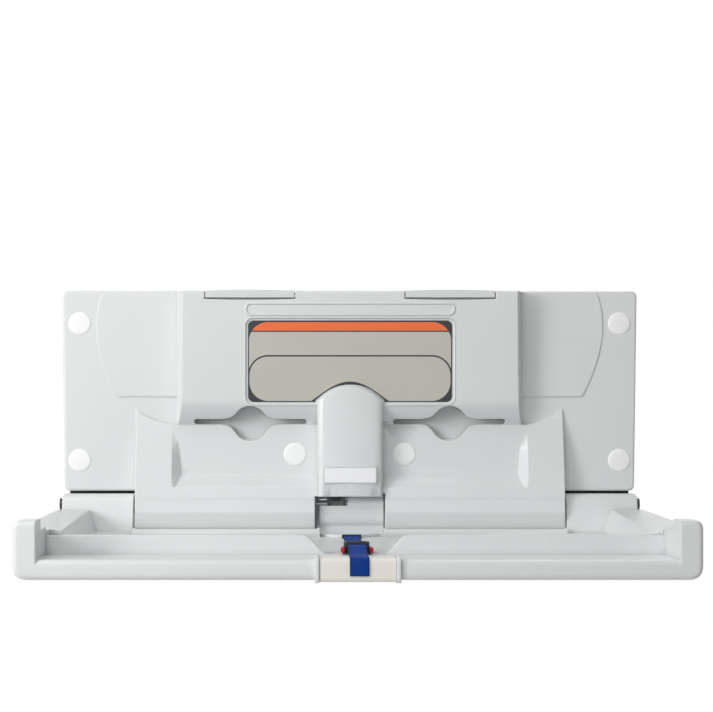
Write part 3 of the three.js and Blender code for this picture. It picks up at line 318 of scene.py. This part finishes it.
def wovenStrip(name):
    finish = Finish(name)
    across, along, _ = finish.axes(finish.add("ShaderNodeUVMap", {"uv_map": "weaveMap"}))
    row = (along / weave["rib"]).whole()
    rib = abs((along * (math.pi / weave["rib"])).sine())
    column = abs((across * (math.pi / weave["column"]) + row * (math.pi / 2)).sine())
    height = rib * (1 - weave["columnShare"]) + rib * column * weave["columnShare"]
    fuzz = finish.noise(*weave["fuzz"], finish.place())
    # the tint follows the rib height: painted shade in the weave's hollows and lighter rib tops, plus random
    # fuzz
    lightness = height * (1 - weave["fuzzShare"]) + fuzz * weave["fuzzShare"]
    tint = finish.mix(lightness, linear(weave["shade"]), linear(weave["colour"]))
    tint = finish.mix(abs(across) > weave["selvedge"], tint, linear(weave["edge"]))
    return finish.done(Base_Color=tint, Roughness=weave["roughness"] + fuzz * weave["glossSwing"],
                       Specular_IOR_Level=weave["shine"],
                       Normal=finish.bump(height, weave["strength"], weave["depth"]))


blueWebbing = wovenStrip("blueWebbing")
print("film and webbing finishes made")

# cleaning of a copied solid: corners closer than this are joined, and flatter edges than this go
cleaning = {"join": 0.00003, "flat": math.radians(0.2)}


# a copy of a CAD node as one joined mesh, with flat areas cleaned up, ready for modifiers
def copyOf(node, name):
    mesh = nodes[node].data.copy()
    bm = bmesh.new()
    bm.from_mesh(mesh)
    bmesh.ops.remove_doubles(bm, verts=bm.verts, dist=cleaning["join"])
    bmesh.ops.dissolve_degenerate(bm, edges=bm.edges, dist=cleaning["join"])
    bmesh.ops.dissolve_limit(bm, angle_limit=cleaning["flat"], verts=bm.verts, edges=bm.edges)
    bm.to_mesh(mesh)
    bm.free()
    mesh.name = name
    piece = bpy.data.objects.new(name, mesh)
    scene.collection.objects.link(piece)
    return piece


def bake(piece):
    depsgraph = bpy.context.evaluated_depsgraph_get()
    mesh = bpy.data.meshes.new_from_object(piece.evaluated_get(depsgraph), depsgraph=depsgraph)
    piece.modifiers.clear()
    piece.data = mesh
    return piece


def dress(piece, body, material, replaced=()):
    piece.data.materials.clear()
    piece.data.materials.append(material)
    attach(piece, body)
    if replaced:
        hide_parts(*replaced)
    return piece


# the two big shells; the cover's crown is cut level with the badge, so that it shades evenly above and below
shells = {
    "sharp": math.radians(20), "weight": 80,
    "crownFront": -0.0645, "crownCuts": (0.03275, 0.05925), "cutJoin": 0.00001,
}


# a crisp moulded shell: the CAD solid shaded smooth up to its sharp edges, which its finish rounds over
def crispShell(node, name, cuts=()):
    piece = copyOf(node, name)
    bm = bmesh.new()
    bm.from_mesh(piece.data)
    for height in cuts:
        crown = [face for face in bm.faces if face.calc_center_median().y < shells["crownFront"]]
        edges = dict.fromkeys(edge for face in crown for edge in face.edges)
        bmesh.ops.bisect_plane(bm, geom=crown + list(edges), dist=shells["cutJoin"],
                               plane_co=(0, 0, height), plane_no=(0, 0, 1))
    bm.to_mesh(piece.data)
    bm.free()
    piece.data.shade_smooth()
    piece.data.set_sharp_from_angle(angle=shells["sharp"])
    weighted = piece.modifiers.new("normals", "WEIGHTED_NORMAL")
    weighted.keep_sharp = True
    weighted.weight = shells["weight"]
    return bake(piece)


panelShell = crispShell("back_panel", "panel_shell", shells["crownCuts"])
dress(panelShell, "panel", greyPlastic, ["back_panel"])
trayShell = crispShell("bed_shell", "tray_shell")
dress(trayShell, "bed", trayPlastic, ["bed_shell"])
print("shells made")

# small mouldings, each with its edge radius
edgeRounding = {"segments": 3, "from": math.radians(32)}
tabKeep = 0.62  # share of a tab's width that shows red, from its outer end
mouldings = [
    ("liner_lid_left", "lid_cover_left", "lid_left", lidPlastic, "grey_plastic", 0.0007),
    ("liner_lid_right", "lid_cover_right", "lid_right", lidPlastic, "grey_plastic", 0.0007),
    ("front_grip", "grip_cover", "bed", gripPlastic, "cream_plastic", 0.0006),
    ("badge_plate", "badge_blank", "panel", badgePlastic, "badge_film", 0.0004),
    ("strap_slot_trim", "slot_hood", "bed", blackPlastic, "black_plastic", 0.0004),
    ("buckle_body", "buckle_shell", "bed", blackPlastic, "black_plastic", 0.0009),
    ("buckle_tongue", "tongue_plate", "bed", blackPlastic, "black_plastic", 0.0006),
    ("release_tab_left", "tab_button_left", "tab_left", redPlastic, "red_plastic", 0.0007),
    ("release_tab_right", "tab_button_right", "tab_right", redPlastic, "red_plastic", 0.0007),
    ("hinge_end_cap_left", "pivot_cap_left", "bed", blackPlastic, "black_plastic", 0.0012),
    ("hinge_end_cap_right", "pivot_cap_right", "bed", blackPlastic, "black_plastic", 0.0012),
    ("gas_rod_end", "spring_foot", "gas_rod_body", blackPlastic, "black_plastic", 0.0006),
]


# a small moulding: the CAD solid with its edges rounded over
def roundedCopy(node, name, radius):
    piece = copyOf(node, name)
    piece.data.shade_smooth()
    bevel = piece.modifiers.new("edges", "BEVEL")
    bevel.width = radius
    bevel.segments = edgeRounding["segments"]
    bevel.limit_method = "ANGLE"
    bevel.angle_limit = edgeRounding["from"]
    bevel.miter_outer = "MITER_ARC"
    weighted = piece.modifiers.new("normals", "WEIGHTED_NORMAL")
    weighted.keep_sharp = False
    return bake(piece)


tabOuter = {}
for node, name, body, material, slot, radius in mouldings:
    piece = dress(roundedCopy(node, name, radius), body, material, [node])
    if material is redPlastic:
        outer = tabOuter[body] = max((vert.co.x for vert in piece.data.vertices), key=abs)
        for vert in piece.data.vertices:
            vert.co.x = outer + (vert.co.x - outer) * tabKeep
print("small mouldings made:", len(mouldings))


# geometry trees: raised ridges along lines, stitches along lines, and copies of a mould at points
def geometryTree(name, sockets):
    tree = bpy.data.node_groups.new(name, "GeometryNodeTree")
    tree.interface.new_socket("Geometry", in_out="OUTPUT", socket_type="NodeSocketGeometry")
    tree.interface.new_socket("Geometry", in_out="INPUT", socket_type="NodeSocketGeometry")
    identifiers = {}
    for label, kind in sockets.items():
        socket = tree.interface.new_socket(label, in_out="INPUT", socket_type="NodeSocket" + kind)
        identifiers[label] = socket.identifier
    graph = Graph(tree)
    entry = graph.nodes.new("NodeGroupInput")
    return tree, graph, {socket.name: Sock(graph, socket) for socket in entry.outputs}, identifiers


def closeTree(graph, shape, material):
    whole = graph.add("GeometryNodeRealizeInstances", {}, {0: shape})
    painted = graph.add("GeometryNodeSetMaterial", {}, {"Geometry": whole, "Material": material})
    graph.links.new(painted.socket, graph.nodes.new("NodeGroupOutput").inputs[0])


ridgeTree, graph, given, ridgeInputs = geometryTree(
    "ridge", {"Radius": "Float", "Sides": "Int", "Material": "Material"})
path = graph.add("GeometryNodeMeshToCurve", {}, {"Mesh": given["Geometry"]})
ring = graph.add("GeometryNodeCurvePrimitiveCircle", {},
                 {"Resolution": given["Sides"], "Radius": given["Radius"]})
ridge = graph.add("GeometryNodeCurveToMesh", {}, {"Curve": path, "Profile Curve": ring, "Fill Caps": True})
closeTree(graph, ridge, given["Material"])

stitchTree, graph, given, stitchInputs = geometryTree(
    "stitches", {"Spacing": "Float", "Size": "Vector", "Material": "Material"})
path = graph.add("GeometryNodeMeshToCurve", {}, {"Mesh": given["Geometry"]})
spots = graph.add("GeometryNodeResampleCurve", {"mode": "LENGTH"},
                  {"Curve": path, "Length": given["Spacing"]})
turn = graph.add("FunctionNodeAlignRotationToVector", {"axis": "Z"},
                 {"Vector": graph.add("GeometryNodeInputTangent")})
bead = graph.add("GeometryNodeMeshUVSphere", {}, {"Segments": 8, "Rings": 5, "Radius": 0.5})
stitches = graph.add("GeometryNodeInstanceOnPoints", {},
                     {"Points": spots, "Instance": bead, "Rotation": turn, "Scale": given["Size"]})
closeTree(graph, stitches, given["Material"])

rowTree, graph, given, rowInputs = geometryTree("row", {"Mould": "Object", "Material": "Material"})
mould = graph.add("GeometryNodeObjectInfo", {}, {"Object": given["Mould"]}, "Geometry")
copies = graph.add("GeometryNodeInstanceOnPoints", {}, {"Points": given["Geometry"], "Instance": mould})
closeTree(graph, copies, given["Material"])


def grow(piece, tree, identifiers, **values):
    modifier = piece.modifiers.new("grow", "NODES")
    modifier.node_group = tree
    for label, value in values.items():
        modifier[identifiers[label]] = value
    bake(piece).data.shade_smooth()
    return piece


# bare lines for a tree to grow on; a closed line joins its ends, and a line of one point is a spot
def linePiece(name, lines, closed=False):
    points = [point for line in lines for point in line]
    links, start = [], 0
    for line in lines:
        links += [(start + i, start + i + 1) for i in range(len(line) - 1)]
        links += [(start + len(line) - 1, start)] if closed else []
        start += len(line)
    mesh = bpy.data.meshes.new(name)
    mesh.from_pydata(points, links, [])
    piece = bpy.data.objects.new(name, mesh)
    scene.collection.objects.link(piece)
    return piece


def ridgePiece(name, lines, size, body, material, closed=False):
    piece = grow(linePiece(name, lines, closed), ridgeTree, ridgeInputs,
                 Radius=size["radius"], Sides=size["sides"], Material=material)
    return dress(piece, body, material)


# raised frames on the panel: the pill, the edge round the film plate and the edge round the badge
chest = {"face": -0.067, "lean": 0.006, "top": 0.3285, "faceBottom": 0.160}
frames = {
    "pill": {"half": 0.1598, "low": 0.2918, "high": 0.3092, "corner": 0.0084, "radius": 0.0011, "sides": 10},
    "plate": {"half": 0.1612, "low": 0.1534, "high": 0.2876, "corner": 0.0128, "radius": 0.0009, "sides": 10},
    "badge": {"half": 0.0405, "low": 0.0338, "high": 0.0582, "corner": 0.0024, "radius": 0.0006, "sides": 10,
              "plane": -0.0731},
}


def roundedLoop(halfX, low, high, corner, steps=8):
    loop = []
    for cornerX, cornerZ, start in ((1, 1, 0), (-1, 1, 90), (-1, -1, 180), (1, -1, 270)):
        middleX = cornerX * (halfX - corner)
        middleZ = high - corner if cornerZ > 0 else low + corner
        for i in range(steps + 1):
            angle = math.radians(start + 90 * i / steps)
            loop.append((middleX + corner * math.cos(angle), middleZ + corner * math.sin(angle)))
    return loop


def onChest(x, z):
    drop = (chest["top"] - z) / (chest["top"] - chest["faceBottom"])
    return (x, chest["face"] + chest["lean"] * drop, z)


for name, size in frames.items():
    loop = roundedLoop(size["half"], size["low"], size["high"], size["corner"])
    line = [(x, size["plane"], z) if "plane" in size else onChest(x, z) for x, z in loop]
    ridgePiece(name + "_ridge", [line], size, "panel", greyPlastic, closed=True)

# outlines of the side plaques: a bowed outer edge and a straight foot
plaque = {
    "inner": 0.262, "edge": 0.394, "top": 0.3245, "bottom": 0.167, "plane": -0.0308,
    "topIn": 0.011, "bowOut": 0.014, "bowUp": 0.014, "footIn": 0.034, "steps": 32,
    "radius": 0.0011, "sides": 10,
}


def plaqueLine(sign):
    edge, top, bottom = plaque["edge"], plaque["top"], plaque["bottom"]
    start = (edge - plaque["topIn"], top)
    bow = (edge + plaque["bowOut"], (top + bottom) / 2 + plaque["bowUp"])
    end = (edge - plaque["footIn"], bottom)
    line = []
    for i in range(plaque["steps"] + 1):
        t = i / plaque["steps"]
        line.append([(1 - t) ** 2 * a + 2 * t * (1 - t) * b + t * t * c
                     for a, b, c in zip(start, bow, end)])
    line.append((plaque["inner"], bottom))
    return [(sign * x, plaque["plane"], z) for x, z in line]


ridgePiece("plaque_ridges", [plaqueLine(-1), plaqueLine(1)], plaque, "panel", greyPlastic)
print("ridges made")

# screw-hole caps: one lathe-turned mould, set at six places; the outline is radius and height over the place
holeCap = {
    "outline": [(0.0, 0.0013), (0.006, 0.00127), (0.012, 0.0011), (0.0155, 0.0008), (0.0168, 0.0004),
                (0.0174, -0.0001), (0.0175, -0.0006), (0.0171, -0.0011), (0.0155, -0.0012),
                (0.0155, -0.0078), (0.0, -0.0078)],
    "turns": 48,
    "places": [(0.4184, -0.0305, 0.280), (0.4184, -0.0305, 0.068), (0.0845, -0.0375, 0.0775)],
}


def lathe(name, outline, turns):
    angles = [2 * math.pi * i / turns for i in range(turns)]
    bm = bmesh.new()
    rings = []
    for radius, out in outline:
        spots = angles if radius else [0]
        rings.append([bm.verts.new((radius * math.cos(a), -out, radius * math.sin(a))) for a in spots])
    for near, far in zip(rings, rings[1:]):
        for i in range(turns):
            corners = [near[i % len(near)], near[(i + 1) % len(near)],
                       far[(i + 1) % len(far)], far[i % len(far)]]
            bm.faces.new(list(dict.fromkeys(corners)))
    bmesh.ops.recalc_face_normals(bm, faces=bm.faces)
    mesh = bpy.data.meshes.new(name)
    bm.to_mesh(mesh)
    bm.free()
    return bpy.data.objects.new(name, mesh)


capMould = lathe("capMould", holeCap["outline"], holeCap["turns"])
capSpots = [[(sign * x, y, z)] for sign in (-1, 1) for x, y, z in holeCap["places"]]
holeCaps = grow(linePiece("hole_caps", capSpots), rowTree, rowInputs, Mould=capMould, Material=capPlastic)
bpy.data.objects.remove(capMould)
capNodes = ["cap_" + side + "_" + spot for side in ("left", "right") for spot in ("upper", "lower", "inner")]
dress(holeCaps, "panel", capPlastic, capNodes)
print("hole caps made:", len(capSpots))

# safety strap: a strip of webbing along a side-view line, with its own map, and stitches where it is sewn
strap = {
    "middle": 0.0015, "width": 0.0254, "thickness": 0.0016, "step": 0.0025,
    "flats": 10, "edgeIn": 0.3, "edgeDrop": 0.6, "ripple": 0.0002, "rippleRate": 150,
    "rear": [(-0.104, -0.0585), (-0.104, -0.0475), (-0.1048, -0.0455), (-0.107, -0.0450),
             (-0.1157, -0.0450), (-0.1297, -0.0467), (-0.200, -0.0468), (-0.270, -0.0467),
             (-0.337, -0.0468), (-0.347, -0.0412), (-0.356, -0.0412)],
    "tail": [(-0.3880, -0.0390), (-0.4000, -0.0390), (-0.4180, -0.0390), (-0.4250, -0.0410),
             (-0.4390, -0.0450), (-0.4490, -0.0465), (-0.4750, -0.0465), (-0.5030, -0.0466),
             (-0.5075, -0.0470), (-0.5100, -0.0480), (-0.5113, -0.0510), (-0.5116, -0.0560),
             (-0.5117, -0.0640), (-0.5118, -0.0705)],
    "rearShift": (0, 0), "tailShift": (-0.0002, 0.0006),
    "sewnRows": [0.008, 0.012, 0.016], "sewnHalf": 0.0108,
    "stitchSpacing": 0.0024, "stitchSize": (0.0005, 0.0005, 0.0017),
}


def smoothLine(points, step):
    knots = [Vector(p) for p in points]
    padded = [knots[0] * 2 - knots[1], *knots, knots[-1] * 2 - knots[-2]]
    line = []
    for a, b, c, d in zip(padded, padded[1:], padded[2:], padded[3:]):
        count = max(2, round((c - b).length / step))
        for i in range(count):
            t = i / count
            line.append(b + (c - a) * 0.5 * t + (a * 2 - b * 5 + c * 4 - d) * 0.5 * t ** 2
                        + (b * 3 - a - c * 3 + d) * 0.5 * t ** 3)
    return line + [knots[-1]]


# the direction away from what the strap lies on
def outward(line, i):
    ahead = line[min(i + 1, len(line) - 1)] - line[max(i - 1, 0)]
    return Vector((ahead.y, -ahead.x)).normalized()


# the strip's cross-section, flat on both sides with rounded selvedges
def webbingSection():
    half, thick = strap["width"] / 2, strap["thickness"] / 2
    inset, drop = thick * strap["edgeIn"], thick * strap["edgeDrop"]
    flat = 2 * half - 2 * thick
    top = [(-half + thick + flat * i / strap["flats"], thick) for i in range(strap["flats"] + 1)]
    side = [(half - inset, drop), (half, 0), (half - inset, -drop)]
    return top + side + [(a, -b) for a, b in reversed(top)] + [(-a, -b) for a, b in side]


def webbingStrip(name, points, shift):
    line = smoothLine(points, strap["step"])
    along = [0.0]
    for before, after in zip(line, line[1:]):
        along.append(along[-1] + (after - before).length)
    section = webbingSection()
    bm = bmesh.new()
    weaveMap = bm.loops.layers.uv.new("weaveMap")
    rings = []
    for i, point in enumerate(line):
        normal = outward(line, i)
        middle = strap["middle"] + shift[0] + (shift[1] - shift[0]) * (along[i] / along[-1])
        wave = strap["ripple"] * math.sin(along[i] * strap["rippleRate"])
        rings.append([bm.verts.new((middle + a, *(point + normal * (b + wave)))) for a, b in section])
    size = len(section)
    for i, (near, far) in enumerate(zip(rings, rings[1:])):
        for j in range(size):
            k = (j + 1) % size
            face = bm.faces.new((near[j], near[k], far[k], far[j]))
            spots = ((section[j][0], along[i]), (section[k][0], along[i]),
                     (section[k][0], along[i + 1]), (section[j][0], along[i + 1]))
            for loop, spot in zip(face.loops, spots):
                loop[weaveMap].uv = spot
    for ring, length in ((rings[0], along[0]), (rings[-1], along[-1])):
        face = bm.faces.new(ring)
        for loop, spot in zip(face.loops, section):
            loop[weaveMap].uv = (spot[0], length)
    bmesh.ops.recalc_face_normals(bm, faces=bm.faces)
    mesh = bpy.data.meshes.new(name)
    bm.to_mesh(mesh)
    bm.free()
    mesh.shade_smooth()
    piece = bpy.data.objects.new(name, mesh)
    scene.collection.objects.link(piece)
    return piece, line, along


# rows across the strip, each at its distance from the strip's end
def sewnRows(name, line, along, shift):
    rows = []
    for distance in strap["sewnRows"]:
        i = min(range(len(line)), key=lambda k: abs(along[k] - (along[-1] - distance)))
        y, z = line[i] + outward(line, i) * (strap["thickness"] / 2)
        middle = strap["middle"] + shift
        rows.append([(middle - strap["sewnHalf"], y, z), (middle + strap["sewnHalf"], y, z)])
    return linePiece(name, rows)


rearStrap, _, rearAlong = webbingStrip("strap_webbing", strap["rear"], strap["rearShift"])
tailStrap, tailLine, tailAlong = webbingStrip("tail_webbing", strap["tail"], strap["tailShift"])
dress(rearStrap, "bed", blueWebbing, ["strap_rear"])
dress(tailStrap, "bed", blueWebbing, ["strap_tail"])
thread = sewnRows("tail_stitches", tailLine, tailAlong, strap["tailShift"][1])
grow(thread, stitchTree, stitchInputs,
     Spacing=strap["stitchSpacing"], Size=strap["stitchSize"], Material=threadBlue)
dress(thread, "bed", threadBlue)
print("strap made, lengths", round(rearAlong[-1], 4), round(tailAlong[-1], 4))

# raised ribs for the fingers: up the outer face of each red tab, and across the top of the buckle
ribs = {
    "radius": 0.0006, "sides": 8,
    "tabRows": (-0.4105, -0.4075, -0.4045, -0.4015), "tabLow": -0.0466, "tabHigh": -0.0415,
    "topRows": (-0.3765, -0.3795, -0.3825, -0.3855), "topFrom": -0.0115, "topTo": 0.0145, "steps": 8,
    "above": 0.05,
}
for body, outer in tabOuter.items():
    lines = [[(outer, y, ribs["tabLow"]), (outer, y, ribs["tabHigh"])] for y in ribs["tabRows"]]
    ridgePiece("ribs_" + body, lines, ribs, body, redPlastic)
buckle = bpy.data.objects["buckle_shell"]
topStep = (ribs["topTo"] - ribs["topFrom"]) / ribs["steps"]
lines = []
for y in ribs["topRows"]:
    starts = [Vector((ribs["topFrom"] + topStep * i, y, ribs["above"])) for i in range(ribs["steps"] + 1)]
    lines.append([buckle.ray_cast(start, Vector((0, 0, -1)))[1] for start in starts])
ridgePiece("buckle_ribs", lines, ribs, "bed", blackPlastic)

# dark beads on the back rail, standing as painted shade in the gap between the panel and the bed's arms
gapShade = {"ends": (0.3325, 0.436), "depth": -0.0085, "height": 0.0178, "radius": 0.0028, "sides": 12}
lines = [[(sign * x, gapShade["depth"], gapShade["height"]) for x in gapShade["ends"]] for sign in (-1, 1)]
ridgePiece("seal_beads", lines, gapShade, "panel", blackPlastic)
print("ribs and seal beads made")

# finishes of the CAD pieces that stay, by the start of their names
finishes = {
    "liner_bin": greyPlastic, "label_plate": labelFilm, "gas_cylinder": blackPaint,
    "outer_washer": gapShadeNylon, "inner_washer": gapShadeNylon,
    "hinge_side_plate": darkSteel, "lever_": darkSteel, "spring_": darkSteel,
}
for name, node in nodes.items():
    material = next((m for start, m in finishes.items() if name.startswith(start)), plainSteel)
    node.data.materials.clear()
    node.data.materials.append(material)
print("CAD pieces finished")

# light: a soft source on the left, a broad one in front, one above, a weak one behind, and a pale room
lamps = {
    "leftSoft": {"place": (-2.3, -1.9, 0.8), "aim": (0, -0.2, 0.1), "size": 1.1, "power": 44},
    "frontSoft": {"place": (-0.8, -3.3, 0.6), "aim": (0, -0.2, 0.1), "size": 2.0, "power": 10},
    "topSoft": {"place": (-0.7, -1.5, 2.2), "aim": (0, -0.25, 0), "size": 1.4, "power": 19},
    "backSoft": {"place": (0.5, 1.7, 2.3), "aim": (0, 0.1, 0.1), "size": 1.0, "power": 14},
}
for name, lamp in lamps.items():
    data = bpy.data.lights.new(name, "AREA")
    data.size = lamp["size"]
    data.energy = lamp["power"]
    light = bpy.data.objects.new(name, data)
    light.location = lamp["place"]
    reach = Vector(lamp["aim"]) - Vector(lamp["place"])
    light.rotation_euler = reach.to_track_quat("-Z", "Y").to_euler()
    scene.collection.objects.link(light)

ambient = 0.26  # the room's light on the object; the room itself shows white
world = bpy.data.worlds.new("paleRoom")
world.use_nodes = True
scene.world = world
room = Graph(world.node_tree)
background = room.nodes["Background"]
room.set(background, "Color", (1, 1, 1))
room.set(background, "Strength", room.lightPath() * (1 - ambient) + ambient)

# the floor glows a little to the camera and in reflections, and keeps the shadow
ground = {
    "height": -0.95, "radius": 2.4, "segments": 96,
    "colour": "f4f4f2", "shade": "efefec", "glow": "9c9c9a", "cloud": (4, 3), "roughness": 0.8,
}


def paleFloor(name):
    finish = Finish(name)
    cloud = finish.noise(*ground["cloud"], finish.place())
    tint = finish.mix(cloud, linear(ground["colour"]), linear(ground["shade"]))
    glow = finish.mix(finish.lightPath(), (0, 0, 0), linear(ground["glow"]))
    return finish.done(Base_Color=tint, Roughness=ground["roughness"],
                       Emission_Color=glow, Emission_Strength=1.0)


bm = bmesh.new()
bmesh.ops.create_circle(bm, cap_ends=True, segments=ground["segments"], radius=ground["radius"])
bmesh.ops.translate(bm, verts=bm.verts, vec=(0, 0, ground["height"]))
floorMesh = bpy.data.meshes.new("floor")
bm.to_mesh(floorMesh)
bm.free()
floor = bpy.data.objects.new("floor", floorMesh)
scene.collection.objects.link(floor)
floorMesh.materials.append(paleFloor("paleFloor"))
print("light and floor set")

scene.view_settings.view_transform = "Standard"
